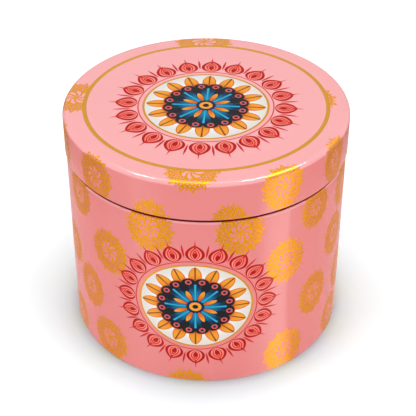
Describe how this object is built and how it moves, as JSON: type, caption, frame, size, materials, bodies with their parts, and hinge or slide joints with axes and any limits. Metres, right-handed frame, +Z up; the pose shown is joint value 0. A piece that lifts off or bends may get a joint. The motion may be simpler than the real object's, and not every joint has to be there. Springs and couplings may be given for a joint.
{
  "type": "airtight tin",
  "caption": "Round printed tinplate canister with a flush slip-over lid; a plug and silicone ring under the lid seal the neck.",
  "frame": {"origin": "centre of the base, on the surface that the tin stands on", "axes": "+Z up along the tin's axis; the front, with the wall's round medallion, faces -Y"},
  "size_m": [0.11, 0.11, 0.094],
  "materials": {
    "printed_tinplate": "gloss pink lacquer with metallic gold print",
    "plain_tinplate": "bright rolled tinplate",
    "seam_compound": "matt",
    "moulded_plug": "satin moulded",
    "silicone": "translucent satin"
  },
  "bodies": {
    "tin": {"body_shell": "printed_tinplate", "neck_collar": "plain_tinplate", "base_end": "plain_tinplate", "base_seal": "seam_compound"},
    "seal": {"seal_ring": "silicone"},
    "lid": {"lid_shell": "printed_tinplate", "seal_plug": "moulded_plug"}
  },
  "joints": [
    {"name": "lid_lift", "type": "slide", "parent": "tin", "child": "seal", "axis": [0, 0, 1], "range_m": [0, 0.06]},
    {"name": "lid_turn", "type": "hinge", "parent": "seal", "child": "lid", "pos_m": [0, 0, 0.09], "axis": [0, 0, 1], "continuous": true}
  ]
}
